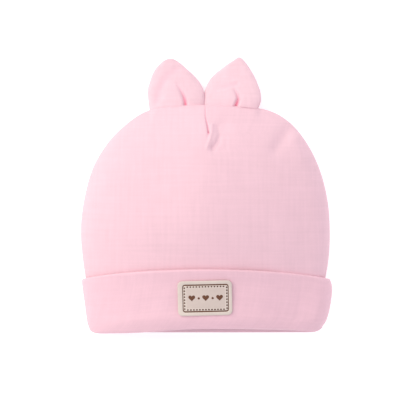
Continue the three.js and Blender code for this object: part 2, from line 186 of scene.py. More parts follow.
# The ears. They are set SEAM_TUCK deep into the top seam, and their thickness in it lifts the
# crown by SEAM_RAISE, less and less down to SEAM_REACH below the seam.
EAR_WIDTH = 39.0
EAR_GAP = 0.4
SEAM_TUCK = 0.8
SEAM_RAISE = 2.1
SEAM_REACH = 7.5
SEAM_FADE = 5
EAR_WALL = 3.2
EAR_PUFF = 2.8
EAR_TIP_HEIGHT = 3.4
TIP_BLUNTNESS = 1.4
TIP_THICKNESS = 0.25
PLEAT_DEPTH = 0.7
PLEAT_WIDTH = 1.7
SEAM_BLEND = 3
LOBE_ROUNDNESS = 0.55
EAR_FULLNESS = 5

# How much an ear's right edge is lifted over its left edge at its base, and the share of its
# width, out from the middle, that keeps its height
EAR_LEAN = 2.6
EAR_LEVEL = 0.2

# How deep a fold is, in an ear and in the dart seam, where its cloth takes the whole painted crease shade:
# a deeper pink that stands in for the shade and bounced light inside the fold
CREASE_DEPTH = 2.2
DART_DEPTH = 3.2

# The patch
PATCH_WIDTH = 36.9
PATCH_HEIGHT = 23.8
PATCH_MIDDLE = 24.9
PATCH_TURN = math.radians(1.3)

# How full the body's sections are, as powers
FRONT_FULLNESS = 2.1
BACK_FLATNESS = 3
BACK_SOFTNESS = 0.6

# How softly the cloth rounds off where it meets what it lies on
CONTACT = 0.7

# Folds, each a smooth ridge or dent along a line of points (x, y). width is how far it reaches to
# each side, rise its height, below 0 for a dent, and first and last how strong it is at the ends.
WIDE_FOLDS = [
    {"points": [(1.5, 137.0), (0.0, 78.5)], "width": 20.4, "rise": 1.9, "first": 1.15, "last": 0.9},
    {"points": [(3.0, 130.0), (3.0, 70.0), (-2.0, 4.0)], "width": 36, "rise": 1.6, "first": 1, "last": 0.6},
    {"points": [(48.6, 126.0), (58.6, 140.4)], "width": 4.4, "rise": -3.7, "first": 0.6, "last": 1.1},
    {"points": [(-51.0, 136.6), (-59.5, 125.6)], "width": 5.5, "rise": -0.7, "first": 1, "last": 1},
]
DART_SEAM = [
    {
        "points": [(0.25, 157.0), (0.4, 149.5), (0.9, 146.0), (1.75, 142.0), (2.4, 137.2)],
        "width": 0.55, "rise": -1.7, "first": 0.3, "last": 1.1,
    },
    {"points": [(2.4, 137.6), (1.7, 132.0)], "width": 0.8, "rise": -0.7, "first": 1, "last": 0},
]
DART_FOLDS = DART_SEAM + [
    {"points": [(-2.6, 152.0), (-0.6, 143.0)], "width": 1.9, "rise": 0.3, "first": 0.3, "last": 1},
    {
        "points": [(4.6, 142.6), (4.8, 138.4), (3.7, 133.6), (2.2, 129.6), (1.4, 127.0)],
        "width": 1.15, "rise": 1.35, "first": 0.7, "last": 0.5,
    },
    {
        "points": [(8.6, 141.0), (10.0, 136.0), (8.9, 131.0), (5.6, 126.4)],
        "width": 2.0, "rise": -2.3, "first": 0.35, "last": 0.9,
    },
    {
        "points": [(12.0, 142.0), (13.0, 134.0), (11.0, 127.0)],
        "width": 5.5, "rise": -1.7, "first": 0.6, "last": 0.5,
    },
]
EDGE_FOLDS = [
    {
        "points": [(79.5, 30.0), (82.0, 70.0), (79.0, 100.0), (72.0, 118.0)],
        "width": 9.0, "rise": 4.0, "first": 1.1, "last": 0.25,
    },
    {"points": [(67.0, 121.0), (62.6, 133.0)], "width": 5.5, "rise": 2.6, "first": 0.8, "last": 1},
]
CUFF_FOLDS = [
    {"points": [(56.0, 2.0), (60.0, 42.0)], "width": 13.0, "rise": -2.0, "first": 1, "last": 1},
    {"points": [(-64.0, 6.0), (44.0, 7.0)], "width": 6.5, "rise": 1.5, "first": 0.35, "last": 0.95},
    {"points": [(-48.0, 8.0), (-10.0, 8.5)], "width": 7.5, "rise": 0.9, "first": 0.5, "last": 1},
    {"points": [(80.0, 1.0), (88.0, 41.0)], "width": 10.0, "rise": 5.2, "first": 1, "last": 0.8},
    {"points": [(-48.0, 34.5), (46.0, 34.5)], "width": 4.2, "rise": -0.3, "first": 1, "last": 1},
]
RIM_FOLDS = [
    {"points": [(-76.0, -1.8), (72.0, -1.8)], "width": 5.5, "rise": -2.7, "first": 0.55, "last": 0.8},
    {"points": [(-22.0, -1.0), (54.0, -1.0)], "width": 5.0, "rise": -3.4, "first": 0.5, "last": 1},
    {
        "points": [(-40, 1.5), (-24, 2.7), (0, 3.8), (24, 4.3), (38, 4.2), (55, 3.2), (66, 2.4)],
        "width": 0.9, "rise": 0.8, "first": 0.6, "last": 1,
    },
]
EAR_FOLDS = [
    {
        "points": [(-19.8, 172.0), (-16.6, 167.4), (-14.6, 163.4), (-13.6, 160.0), (-13.1, 155.0)],
        "width": 1.15, "rise": -3.0, "first": 0.1, "last": 1,
    },
    {
        "points": [(-33.6, 160.0), (-31.8, 167.0), (-28.6, 173.4), (-24.6, 178.6), (-20.0, 182.0)],
        "width": 3.0, "rise": -1.1, "first": 0.9, "last": 0.6,
    },
    {
        "points": [(20.9, 167.4), (22.6, 164.0), (23.1, 161.0), (22.1, 158.2), (20.8, 155.0)],
        "width": 1.25, "rise": -3.0, "first": 0.2, "last": 1,
    },
    {"points": [(8.5, 168.6), (21.5, 171.4)], "width": 2.0, "rise": -0.7, "first": 0.6, "last": 1},
    {"points": [(13.0, 174.6), (22.0, 176.0)], "width": 1.5, "rise": -0.25, "first": 1, "last": 1},
]

# The cloth's soft unevenness: the height and width of its waves, and a seed for each kind
CROWN_WAVES = [{"height": 0.4, "width": 34.0, "seed": 3.1}, {"height": 0.13, "width": 9.0, "seed": 7.7}]
CUFF_WAVES = [{"height": 0.75, "width": 24.0, "seed": 11.3}, {"height": 0.18, "width": 8.0, "seed": 2.9}]
EAR_WAVES = [{"height": 0.25, "width": 11.0, "seed": 5.2}, {"height": 0.08, "width": 4.0, "seed": 1.4}]

# How high above what it lies on the crown has its whole waves
WAVE_RISE = 6

# How many columns of points a piece has over its front and under its back, how much closer they
# are over the front's middle, and how many rows there are
CROWN_GRID = {"front": 200, "back": 76, "closer": 0.55, "rows": 190}
INSIDE_GRID = {"front": 96, "back": 48, "closer": 0, "rows": 70}
CUFF_GRID = {"front": 230, "back": 96, "closer": 0}
PATCH_AROUND = 176

# An ear's points around and rows. A power below 1 sets the rows closer towards the tip.
EAR_GRID = {"around": 240, "rows": 92, "power": 0.85}

# Steps along the parts of the cuff's profile, and where its inner leg starts over the seam
CUFF_STEPS = {"inner": 14, "fold": 15, "leg": 48, "edge": 9, "under": 22, "crease_shade": 5, "outer": 12}
INNER_START = 0.08

# The crown's inner face ends at INSIDE_TOP of its height. Its wall is measured square to the cloth,
# from rows INSIDE_STEP apart, and is at most WALL_STRETCH times as thick across.
INSIDE_TOP = 0.975
INSIDE_STEP = 0.1
WALL_STRETCH = 3


def curve(rows, t):
    """Every column of a table on a smooth curve through its rows. t counts rows."""
    last = len(rows) - 1
    t = np.asarray(t, float)
    i = np.clip(np.floor(t).astype(int), 0, last - 1)
    s = t - i
    out = {}
    for column in rows[0]:
        values = np.array([row[column] for row in rows])
        a, b, c, d = (values[np.clip(i + k, 0, last)] for k in (-1, 0, 1, 2))
        bend = 2 * a - 5 * b + 4 * c - d + s * (3 * (b - c) + d - a)
        out[column] = b + (s / 2) * (c - a + s * bend)
    return out


def row_number(rows, up):
    """The row number at which a table reaches a share of its way up."""
    t = np.linspace(0, len(rows) - 1, 4001)
    return np.interp(up, curve(rows, t)["up"], t)


def body_at(height):
    """The body's section, as a row, at a height above the rim line."""
    return curve(BODY_ROWS, row_number(BODY_ROWS, np.asarray(height) / CROWN_HEIGHT))


def smooth(value, low, high):
    """0 below low, 1 above high, and a smooth step between them."""
    share = np.clip((value - low) / (high - low), 0, 1)
    return share * share * (3 - 2 * share)


def line_height(folds, x, y):
    """Height of a set of folds over the points (x, y)."""
    height = np.zeros(np.broadcast(x, y).shape)
    for fold in folds:
        nearest = np.full(height.shape, np.inf)
        along = np.zeros(height.shape)
        points = fold["points"]
        for k, ((ax, ay), (bx, by)) in enumerate(zip(points, points[1:])):
            dx, dy = bx - ax, by - ay
            share = np.clip(((x - ax) * dx + (y - ay) * dy) / (dx * dx + dy * dy), 0, 1)
            distance = np.hypot(x - ax - share * dx, y - ay - share * dy)
            along = np.where(distance < nearest, (k + share) / (len(points) - 1), along)
            nearest = np.minimum(nearest, distance)
        strength = fold["first"] + (fold["last"] - fold["first"]) * along
        height += fold["rise"] * strength * np.exp(-((nearest / fold["width"]) ** 2))
    return height


def rest_height(y):
    """How high the body's back lies: over the cuff's back, and on the surface beyond it."""
    return (WALL + FOLD_GAP) * (1 - smooth(y, CUFF_HEIGHT + SEAM_GAP, CUFF_HEIGHT + REST_SLOPE))


def section_points(row, angle, across, through, floor):
    """Points of the body at an angle from its right side over the front, moved in by across and
    through, and lying softly on floor. row and angle are arrays that broadcast."""
    cosine = np.cos(angle)
    share = np.where(cosine < 0, row["left"], row["right"])
    x = cosine * np.maximum(share * HALF_WIDTH - across, 0)
    y = row["up"] * CROWN_HEIGHT + 0 * x
    side = row["side"] * SIDE
    wide = np.abs(cosine)
    front = row["front"] * PUFF - through
    arch = np.maximum(1 - wide**FRONT_FULLNESS, 0) ** row["soft"]
    over = side + np.maximum(front - side, 0) * arch
    over = over + line_height(WIDE_FOLDS, x, y) * arch
    back = np.minimum(row["back"] * SIDE + through, side)
    under = side - (side - back) * np.maximum(1 - wide**BACK_FLATNESS, 0) ** BACK_SOFTNESS
    z = np.where(np.sin(angle) >= 0, over, under)
    return x, y, floor + CONTACT * np.logaddexp(0, (z - floor) / CONTACT)


def section_angles(grid):
    """Angles around a section, closer over the front's middle, then evenly under the back."""
    share = np.arange(grid["front"]) / grid["front"]
    over = math.pi * share + grid["closer"] * np.sin(2 * math.pi * share) / 2
    under = math.pi * (1 + np.arange(grid["back"]) / grid["back"])
    return np.concatenate([over, under])


def soft_noise(points, scale, seed):
    """Smooth noise from -1 to 1 over points of any grid, with features about scale wide."""
    flat = points.reshape(-1, 3) / scale + seed
    values = [noise.noise(Vector(p)) for p in flat]
    return np.array(values).reshape(points.shape[:-1])


def soft_waves(points, waves):
    """Height of the cloth's soft unevenness at each point."""
    return sum(row["height"] * soft_noise(points, row["width"], row["seed"]) for row in waves)


def closed_rings(grid, flip=False):
    """The points and faces of a form made of rings, closed by a middle point at both ends."""
    rows, around = grid.shape[:2]
    ends = [grid[0].mean(axis=0), grid[-1].mean(axis=0)]
    points = np.concatenate([grid.reshape(-1, 3), ends])
    faces = grid_faces(rows, around, flip=flip)
    faces += fan(0, around, len(points) - 2, flip=not flip)
    faces += fan((rows - 1) * around, around, len(points) - 1, flip=flip)
    return points, faces


def running_length(points, axis):
    """Length along a grid's rows or columns, from the first one."""
    step = np.linalg.norm(np.diff(points, axis=axis), axis=-1)
    start = np.zeros_like(np.take(step, [0], axis=axis))
    return np.concatenate([start, np.cumsum(step, axis=axis)], axis=axis)


def grid_faces(rows, columns, first=0, flip=False):
    """Four-sided faces of a grid of rows by columns whose columns close on themselves."""
    i = np.arange(rows - 1)[:, None]
    j = np.arange(columns)[None, :]
    k = (j + 1) % columns
    corners = [i * columns + j, i * columns + k, (i + 1) * columns + k, (i + 1) * columns + j]
    faces = np.stack(np.broadcast_arrays(*corners), axis=-1).reshape(-1, 4) + first
    return (faces[:, ::-1] if flip else faces).tolist()


def plugged_rings(rows, count, first):
    """Faces of a form made of rings, closed by one flat face at both ends."""
    start = list(range(first, first + count))
    end = [corner + (rows - 1) * count for corner in start]
    return grid_faces(rows, count, first) + [start[::-1], end]


def fan(first, count, tip, flip=False):
    """Triangles from a closed ring of points to its tip."""
    ring = [(first + j, first + (j + 1) % count) for j in range(count)]
    return [(b, a, tip) if flip else (a, b, tip) for a, b in ring]


def ring_strip(outer, inner, outer_first, inner_first):
    """Triangles that join two closed rings with different numbers of points, edge to edge."""
    counts = (len(outer), len(inner))
    faces = []
    i = j = 0
    while i < counts[0] or j < counts[1]:
        a = outer_first + i % counts[0]
        b = inner_first + j % counts[1]
        if j >= counts[1] or (i < counts[0] and (i + 1) / counts[0] <= (j + 1) / counts[1]):
            faces.append((a, b, outer_first + (i + 1) % counts[0]))
            i += 1
        else:
            faces.append((a, b, inner_first + (j + 1) % counts[1]))
            j += 1
    return faces


def add_piece(name, points, faces, material, cloth=None, crease_shade=None):
    """A smooth-shaded mesh object, in metres in the frame, that rides on the hat's one body. cloth holds
    each point's place in the flat cloth, and the crease mask how deep in a crease each point lies, 0 to 1,
    which is how much painted crease shade its colour takes."""
    place = np.array([MIDDLE_X, RIM_Y, 0.0])
    mesh = bpy.data.meshes.new(name)
    mesh.from_pydata(((points + place) * MM).tolist(), [], faces)
    mesh.validate()
    if cloth is not None:
        layer = mesh.attributes.new("cloth", "FLOAT_VECTOR", "POINT")
        layer.data.foreach_set("vector", np.asarray(cloth, np.float32).ravel())
    if crease_shade is not None:
        layer = mesh.attributes.new("crease_shade", "FLOAT", "POINT")
        layer.data.foreach_set("value", np.asarray(crease_shade, np.float32).ravel())
    mesh.shade_smooth()
    mesh.materials.append(material)
    piece = bpy.data.objects.new(name, mesh)
    bpy.context.collection.objects.link(piece)
    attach(piece, "root")
    return piece


def colour_property(name, text, value):
    """A colour that a user can change."""
    return bpy.props.FloatVectorProperty(
        name=name, description=text, subtype="COLOR", size=3, min=0, max=1, default=value
    )


class HatClothSettings(bpy.types.PropertyGroup):
    """The cotton jersey."""

    colour: colour_property("Cloth colour", "Colour of the cotton jersey", (0.768, 0.510, 0.572))
    doubled: colour_property("Cuff colour", "The deeper colour of the doubled cuff", (0.778, 0.5, 0.567))
    # Painted light: the ears take a lighter copy of the crown's jersey colour, standing in for the light
    # that the crown's rise shades off them
    ears: colour_property("Ear colour", "The lighter colour of the ears", (0.785, 0.537, 0.596))
    # Painted shade: the darker colour that the gaps between knit stitches are mixed towards
    shade: colour_property("Knit shade", "Colour deep in the knit", (0.72, 0.40, 0.48))
    # Painted shade: the deeper, more saturated pink that creases and the dart seam are mixed towards,
    # standing in for shade and bounced light inside the folds
    crease_shade: colour_property("Crease colour", "Colour deep in the pleats", (0.95, 0.38, 0.5))
    wale: bpy.props.FloatProperty(
        name="Wale", description="Width of one column of knit stitches, in mm", default=0.8, min=0.3
    )
    course: bpy.props.FloatProperty(
        name="Course", description="Height of one row of knit stitches, in mm", default=0.62, min=0.3
    )
    streaks: bpy.props.FloatProperty(
        name="Streaks", description="Unevenness from one row of yarn to the next", default=0.1, min=0
    )
    knit_depth: bpy.props.FloatProperty(
        name="Knit depth", description="How strongly the stitches show", default=0.42, min=0, max=1
    )


class HatPatchSettings(bpy.types.PropertyGroup):
    """The leather patch."""

    leather: colour_property("Leather", "Colour of the patch", (0.645, 0.552, 0.494))
    inside: colour_property("Field", "Colour inside the frame", (0.585, 0.484, 0.436))
    mark: colour_property("Marks", "Colour of the frame and the motif", (0.125, 0.046, 0.02))
    thread: colour_property("Thread", "Colour of the stitches", (0.09, 0.032, 0.016))
    stitch_pitch: bpy.props.FloatProperty(
        name="Stitch pitch", description="From one stitch to the next, in mm", default=2.04, min=1
    )


class HatStageSettings(bpy.types.PropertyGroup):
    """The floor, the light and the camera."""

    floor: colour_property("Floor", "Colour of the floor", (0.92, 0.92, 0.92))
    glow: bpy.props.FloatProperty(
        name="Floor glow", description="How much the floor is lit from below", default=0.38, min=0
    )
    key: bpy.props.FloatProperty(
        name="Key light", description="Power of the main light", default=22.2, unit="POWER"
    )
    side: bpy.props.FloatProperty(
        name="Side light", description="Power of the light from the right", default=3.6, unit="POWER"
    )
    fill: bpy.props.FloatProperty(
        name="Fill", description="Strength of the light from all round", default=0.8, min=0
    )
    distance: bpy.props.FloatProperty(
        name="Camera height", description="Camera above the floor", default=1.5, unit="LENGTH"
    )


class HatSettings(bpy.types.PropertyGroup):
    """All that a user would change."""

    cloth: bpy.props.PointerProperty(type=HatClothSettings)
    patch: bpy.props.PointerProperty(type=HatPatchSettings)
    stage: bpy.props.PointerProperty(type=HatStageSettings)


class Shader:
    """Short calls for placing and joining the nodes of a material or a node group."""

    def __init__(self, tree):
        self.tree = tree

    def node(self, kind, inputs=None, **values):
        made = self.tree.nodes.new(kind)
        for key, value in values.items():
            setattr(made, key, value)
        for key, value in (inputs or {}).items():
            self.join(made.inputs[key], value)
        return made

    def join(self, socket, value):
        if isinstance(value, bpy.types.NodeSocket):
            self.tree.links.new(value, socket)
        elif value is not None:
            socket.default_value = value

    def noise(self, place, scale, detail=2.0, roughness=0.5):
        inputs = {"Vector": place, "Scale": scale, "Detail": detail, "Roughness": roughness}
        return self.node("ShaderNodeTexNoise", inputs).outputs["Fac"]

    def bump(self, height, strength, distance):
        inputs = {"Height": height, "Strength": strength, "Distance": distance}
        return self.node("ShaderNodeBump", inputs).outputs["Normal"]

    def group(self, name, inputs):
        return self.node("ShaderNodeGroup", inputs, node_tree=node_group(name)).outputs

    def math(self, operation, a, b=None, c=None):
        made = self.node("ShaderNodeMath", operation=operation)
        for socket, value in zip(made.inputs, (a, b, c)):
            self.join(socket, value)
        return made.outputs[0]

    def mix(self, factor, a, b, blend="MIX"):
        made = self.node("ShaderNodeMix", data_type="RGBA", blend_type=blend)
        self.join(made.inputs["Factor"], factor)
        self.join(made.inputs["A"], a)
        self.join(made.inputs["B"], b)
        return made.outputs["Result"]


def start_group(name, inputs, outputs):
    """A new shader node group with named sockets, and its Shader, input and output nodes."""
    group = bpy.data.node_groups.new(name, "ShaderNodeTree")
    for socket, kind, value in inputs:
        made = group.interface.new_socket(socket, in_out="INPUT", socket_type=kind)
        if value is not None:
            made.default_value = value
    for socket, kind in outputs:
        group.interface.new_socket(socket, in_out="OUTPUT", socket_type=kind)
    shader = Shader(group)
    return group, shader, shader.node("NodeGroupInput"), shader.node("NodeGroupOutput")


# How far the knit's columns and rows wander, in stitches, and how often along the cloth
KNIT_WOBBLE = {"size": 0.9, "scale": 0.45}

# How often the yarn's thickness changes across and along the cloth, for lines each way
STREAK_STRETCHES = [(0.5, 0.03, 0.5), (0.02, 0.55, 0.5)]

# How the dye drifts in the jersey and in the leather
JERSEY_TONE = {"Scale": 18.0, "Amount": 0.09}
LEATHER_TONE = {"Scale": 90.0, "Amount": 0.16}

# How finely the jersey's nap and the leather's grain are set
NAP_SCALE = 2600.0
GRAIN_SCALE = 1500.0

# How the jersey takes the light
JERSEY_FINISH = {
    "Roughness": 0.92,
    "Specular IOR Level": 0.2,
    "Sheen Weight": 0.25,
    "Sheen Roughness": 0.6,
    "Sheen Tint": (1.0, 0.9, 0.93, 1),
}


def knit_group():
    """Columns of V-shaped stitches: how high the yarn stands, and how deep the gaps are, which the jersey
    darkens with painted shade.
    """
    group, shader, given, out = start_group(
        "knit_stitches",
        [
            ("Cloth", "NodeSocketVector", None),
            ("Wale", "NodeSocketFloat", 0.8),
            ("Course", "NodeSocketFloat", 0.62),
        ],
        [("Height", "NodeSocketFloat"), ("Gap", "NodeSocketFloat")],
    )
    split = shader.node("ShaderNodeSeparateXYZ", {0: given.outputs["Cloth"]})
    wobble = shader.noise(given.outputs["Cloth"], KNIT_WOBBLE["scale"])
    drift = shader.math("MULTIPLY_ADD", wobble, KNIT_WOBBLE["size"], -KNIT_WOBBLE["size"] / 2)
    across = shader.math("DIVIDE", split.outputs["X"], given.outputs["Wale"])
    across = shader.math("ADD", across, drift)
    along = shader.math("DIVIDE", split.outputs["Y"], given.outputs["Course"])
    along = shader.math("ADD", along, drift)
    in_wale = shader.math("FRACT", across)
    from_middle = shader.math("ABSOLUTE", shader.math("MULTIPLY_ADD", in_wale, 2.0, -1.0))
    column = shader.math("SUBTRACT", 1.0, shader.math("POWER", from_middle, 3.0))
    slant = shader.math("MULTIPLY_ADD", from_middle, 0.9, along)
    wave = shader.math("SINE", shader.math("MULTIPLY", slant, 2 * math.pi))
    yarn = shader.math("MULTIPLY_ADD", wave, 0.3, 0.7)
    height = shader.math("MULTIPLY", column, yarn)
    shader.join(out.inputs["Height"], height)
    shader.join(out.inputs["Gap"], shader.math("SUBTRACT", 1.0, height))
    return group


def streaks_group():
    """Faint lines along and across the knit, where the yarn is thicker or thinner."""
    group, shader, given, out = start_group(
        "knit_streaks",
        [("Cloth", "NodeSocketVector", None), ("Amount", "NodeSocketFloat", 0.03)],
        [("Gain", "NodeSocketFloat")],
    )
    total = None
    for stretch in STREAK_STRETCHES:
        place = shader.node(
            "ShaderNodeVectorMath", {0: given.outputs["Cloth"], 1: stretch}, operation="MULTIPLY"
        )
        lines = shader.noise(place.outputs["Vector"], 1.0)
        total = lines if total is None else shader.math("ADD", total, lines)
    swing = shader.math("SUBTRACT", total, 1.0)
    gain = shader.math("MULTIPLY_ADD", swing, given.outputs["Amount"], 1.0)
    shader.join(out.inputs["Gain"], gain)
    return group


def tone_group():
    """Soft drifting of a colour, broad and fine, as dyed cotton has."""
    group, shader, given, out = start_group(
        "soft_tone",
        [
            ("Colour", "NodeSocketColor", (1, 1, 1, 1)),
            ("Scale", "NodeSocketFloat", 20.0),
            ("Amount", "NodeSocketFloat", 0.05),
        ],
        [("Colour", "NodeSocketColor"), ("Mask", "NodeSocketFloat")],
    )
    place = shader.node("ShaderNodeTexCoord").outputs["Object"]
    broad = shader.noise(place, given.outputs["Scale"], 4.0)
    fine_scale = shader.math("MULTIPLY", given.outputs["Scale"], 6.0)
    fine = shader.noise(place, fine_scale, 6.0, 0.8)
    mask = shader.math("MULTIPLY", shader.math("ADD", broad, fine), 0.5)
    swing = shader.math("MULTIPLY_ADD", mask, 2.0, -1.0)
    gain = shader.math("MULTIPLY_ADD", swing, given.outputs["Amount"], 1.0)
    shader.join(out.inputs["Colour"], shader.mix(1.0, given.outputs["Colour"], gain, "MULTIPLY"))
    shader.join(out.inputs["Mask"], mask)
    return group


def grain_group():
    """Fine leather grain: small pebbles with creases between them."""
    group, shader, given, out = start_group(
        "leather_grain",
        [("Scale", "NodeSocketFloat", GRAIN_SCALE)],
        [("Height", "NodeSocketFloat")],
    )
    place = shader.node("ShaderNodeTexCoord").outputs["Object"]
    cells = shader.node(
        "ShaderNodeTexVoronoi",
        {"Vector": place, "Scale": given.outputs["Scale"], "Randomness": 1.0},
        feature="SMOOTH_F1",
    )
    crease_scale = shader.math("MULTIPLY", given.outputs["Scale"], 0.4)
    creases = shader.noise(place, crease_scale, 3.0)
    height = shader.math("MULTIPLY_ADD", creases, 0.6, cells.outputs["Distance"])
    shader.join(out.inputs["Height"], height)
    return group


def node_group(name):
    """A shared node group, built the first time it is asked for."""
    makers = {
        "knit_stitches": knit_group,
        "knit_streaks": streaks_group,
        "soft_tone": tone_group,
        "leather_grain": grain_group,
    }
    return bpy.data.node_groups.get(name) or makers[name]()


def new_material(name):
    """An empty material with its Shader and its Principled BSDF."""
    material = bpy.data.materials.new(name)
    material.use_nodes = True
    principled = material.node_tree.nodes["Principled BSDF"]
    return material, Shader(material.node_tree), principled


def jersey_material(settings, name, base):
    """Matt cotton jersey: knit columns with painted shade in their gaps, a soft nap, a little drift in the
    dye, and painted crease shade in its folds and dart seam.
    """
    if name in bpy.data.materials:
        return bpy.data.materials[name]
    material, shader, principled = new_material(name)
    cloth = shader.node("ShaderNodeAttribute", attribute_name="cloth").outputs["Vector"]
    stitches = {"Cloth": cloth, "Wale": settings.wale, "Course": settings.course}
    knit = shader.group("knit_stitches", stitches)
    streaks = shader.group("knit_streaks", {"Cloth": cloth, "Amount": settings.streaks})
    lined = shader.mix(1.0, (*base, 1), streaks["Gain"], "MULTIPLY")
    # Painted shade: creases and the dart seam are mixed towards the crease colour by how deep they lie
    depth = shader.node("ShaderNodeAttribute", attribute_name="crease_shade").outputs["Fac"]
    crease_shaded = shader.mix(depth, lined, (*settings.crease_shade, 1))
    tone = shader.group("soft_tone", {"Colour": crease_shaded, **JERSEY_TONE})
    # Painted shade: the knit's gaps are darkened towards the shade colour, beside their bump
    gap_shade = shader.math("MULTIPLY", knit["Gap"], settings.knit_depth * 0.35)
    colour = shader.mix(gap_shade, tone["Colour"], (*settings.shade, 1))
    place = shader.node("ShaderNodeTexCoord").outputs["Object"]
    fluff = shader.math("MULTIPLY", shader.noise(place, NAP_SCALE, 4.0), 0.5)
    relief = shader.math("MULTIPLY_ADD", knit["Height"], settings.knit_depth, fluff)
    shader.join(principled.inputs["Base Color"], colour)
    shader.join(principled.inputs["Normal"], shader.bump(relief, 0.35, 0.25 * MM))
    for socket, value in JERSEY_FINISH.items():
        principled.inputs[socket].default_value = value
    return material


def leather_material(name, colour):
    """Soft grained leather, a little polished."""
    if name in bpy.data.materials:
        return bpy.data.materials[name]
    material, shader, principled = new_material(name)
    tone = shader.group("soft_tone", {"Colour": (*colour, 1), **LEATHER_TONE})
    grain = shader.group("leather_grain", {"Scale": GRAIN_SCALE})
    roughness = shader.math("MULTIPLY_ADD", tone["Mask"], 0.2, 0.5)
    shader.join(principled.inputs["Base Color"], tone["Colour"])
    shader.join(principled.inputs["Normal"], shader.bump(grain["Height"], 0.3, 0.2 * MM))
    shader.join(principled.inputs["Roughness"], roughness)
    principled.inputs["Specular IOR Level"].default_value = 0.4
    return material


def crown_rows(first, count):
    """Row numbers from first to the top seam, evenly spaced along the crown's front and side."""
    t = np.linspace(first, len(BODY_ROWS) - 1, 4001)
    row = curve(BODY_ROWS, t)
    step = np.hypot(
        np.diff(row["up"]) * CROWN_HEIGHT,
        np.maximum(np.abs(np.diff(row["front"])) * PUFF, np.abs(np.diff(row["left"])) * HALF_WIDTH),
    )
    along = np.concatenate([[0], np.cumsum(step)])
    return np.interp(np.linspace(0, along[-1], count), along, t)


def cloth_places(points, middle, side):
    """Where each point lies in the cloth, across from its middle and up. middle is the column over
    the front's middle, and side the one at the left side, from which the back runs to column 0."""
    length = running_length(np.concatenate([points, points[:, :1]], axis=1), axis=1)
    at_middle = length[:, middle : middle + 1]
    at_side = length[:, side : side + 1]
    under = (length - at_side) / (length[:, -1:] - at_side)
    left = -(at_side - at_middle) * (1 - 2 * under)
    right = at_middle * (2 * under - 1)
    across = np.where(length <= at_side, at_middle - length, np.where(under < 0.5, left, right))
    up = running_length(points[:, middle], axis=0)[:, None] + 0 * across
    return np.stack([across, up, 0 * up], axis=-1)[:, :-1]


def ear_seam_raise(x, y):
    """How far the ears' thickness in the top seam lifts the front's edge."""
    across = smooth(EAR_WIDTH - np.abs(x), 0, SEAM_FADE)
    return SEAM_RAISE * across * np.exp(-(((top_seam(x)[0] - y) / SEAM_REACH) ** 2))


def crown_first_row():
    """The row number of the seam where the crown begins."""
    return float(row_number(BODY_ROWS, CUFF_SEAM / CROWN_HEIGHT))


def crown_outside():
    """The crown's outer skin as a grid, with its dart, its folds and the cloth's soft unevenness, and how
    deep in the dart seam each point lies, which sets the seam's painted crease shade."""
    angle = section_angles(CROWN_GRID)[None, :]
    t = crown_rows(crown_first_row(), CROWN_GRID["rows"])
    row = {column: values[:, None] for column, values in curve(BODY_ROWS, t).items()}
    floor = rest_height(row["up"] * CROWN_HEIGHT)
    x, y, z = section_points(row, angle, 0, 0, floor)
    z = z + ear_seam_raise(x, y) * (np.sin(angle) > -0.01)
    points = np.stack([x, y, z], axis=-1)
    over = np.clip(np.sin(angle), 0, 1) ** 0.5
    waves = soft_waves(points, CROWN_WAVES)
    above_cuff = smooth(y, CUFF_HEIGHT, CUFF_HEIGHT + REST_SLOPE)
    waves *= np.minimum((z - floor) / WAVE_RISE, 1) * above_cuff
    dart = line_height(DART_FOLDS, x, y)
    points[..., 2] += (dart + line_height(EDGE_FOLDS, x, y) + waves) * over
    return points, np.clip(-line_height(DART_SEAM, x, y) / DART_DEPTH, 0, 1) * over


def crown_inside():
    """The crown's inner face as a grid."""
    angle = section_angles(INSIDE_GRID)[None, :]
    last = float(row_number(BODY_ROWS, INSIDE_TOP))
    t = np.linspace(crown_first_row(), last, INSIDE_GRID["rows"])
    columns = curve(BODY_ROWS, t)
    step = curve(BODY_ROWS, t - INSIDE_STEP)
    rise = (columns["up"] - step["up"]) * CROWN_HEIGHT
    narrowing = (columns["left"] + columns["right"] - step["left"] - step["right"]) * HALF_WIDTH / 2
    across = WALL * np.minimum(np.hypot(1, narrowing / rise), WALL_STRETCH)[:, None]
    sinking = (columns["front"] - step["front"]) * PUFF
    through = WALL * np.minimum(np.hypot(1, sinking / rise), WALL_STRETCH)[:, None]
    row = {column: values[:, None] for column, values in columns.items()}
    floor = rest_height(row["up"] * CROWN_HEIGHT) + WALL
    return np.stack(section_points(row, angle, across, through, floor), axis=-1)


def with_tips(outside, inside):
    """The points of two grids in one list. Their last rows become one tip each, and the inner
    grid keeps its last row too."""
    tips = [outside[-1].mean(axis=0), inside[-1].mean(axis=0)]
    return np.concatenate([outside[:-1].reshape(-1, 3), inside.reshape(-1, 3), tips])


